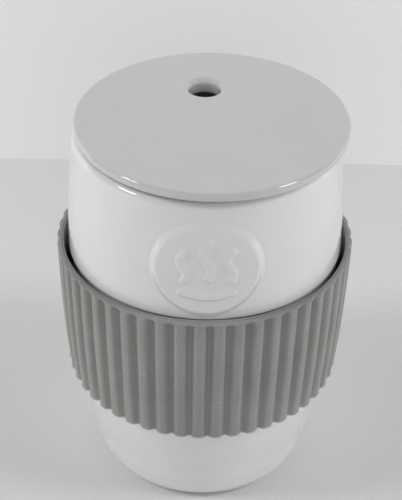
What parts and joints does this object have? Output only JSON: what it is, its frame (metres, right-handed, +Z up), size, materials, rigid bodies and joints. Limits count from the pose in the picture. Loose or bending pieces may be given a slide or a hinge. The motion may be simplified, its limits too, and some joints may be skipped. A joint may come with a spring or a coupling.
{
  "type": "insulated travel mug",
  "caption": "Double-walled porcelain travel mug with a flat push-on lid, a sip hole, a silicone lid seal and a ribbed silicone grip sleeve.",
  "frame": {"origin": "centre of the foot ring, on the surface that the mug stands on", "axes": "+Z up along the mug's axis; -Y towards the round medallion; the sip hole is on the +Y side"},
  "size_m": [0.096, 0.096, 0.13],
  "materials": {
    "porcelain_body": "white gloss glaze",
    "porcelain_liner": "white gloss glaze",
    "porcelain_lid": "white gloss glaze",
    "sleeve_silicone": "matte moulded silicone",
    "seal_silicone": "satin moulded silicone",
    "plug_silicone": "satin moulded silicone"
  },
  "bodies": {
    "mug": {"outer_shell": "porcelain_body", "inner_liner": "porcelain_liner", "vent_plug": "plug_silicone"},
    "sleeve": {"sleeve": "sleeve_silicone"},
    "seal": {"lid_seal": "seal_silicone"},
    "lid": {"lid": "porcelain_lid"}
  },
  "joints": [
    {"name": "sleeve_slide", "type": "slide", "parent": "mug", "child": "sleeve", "axis": [0, 0, 1], "range_m": [-0.038, 0]},
    {"name": "lid_lift", "type": "slide", "parent": "mug", "child": "seal", "axis": [0, 0, 1], "range_m": [0, 0.06]},
    {"name": "lid_turn", "type": "hinge", "parent": "seal", "child": "lid", "pos_m": [0.0015, 0, 0.13], "axis": [0, 0, 1], "continuous": true}
  ]
}
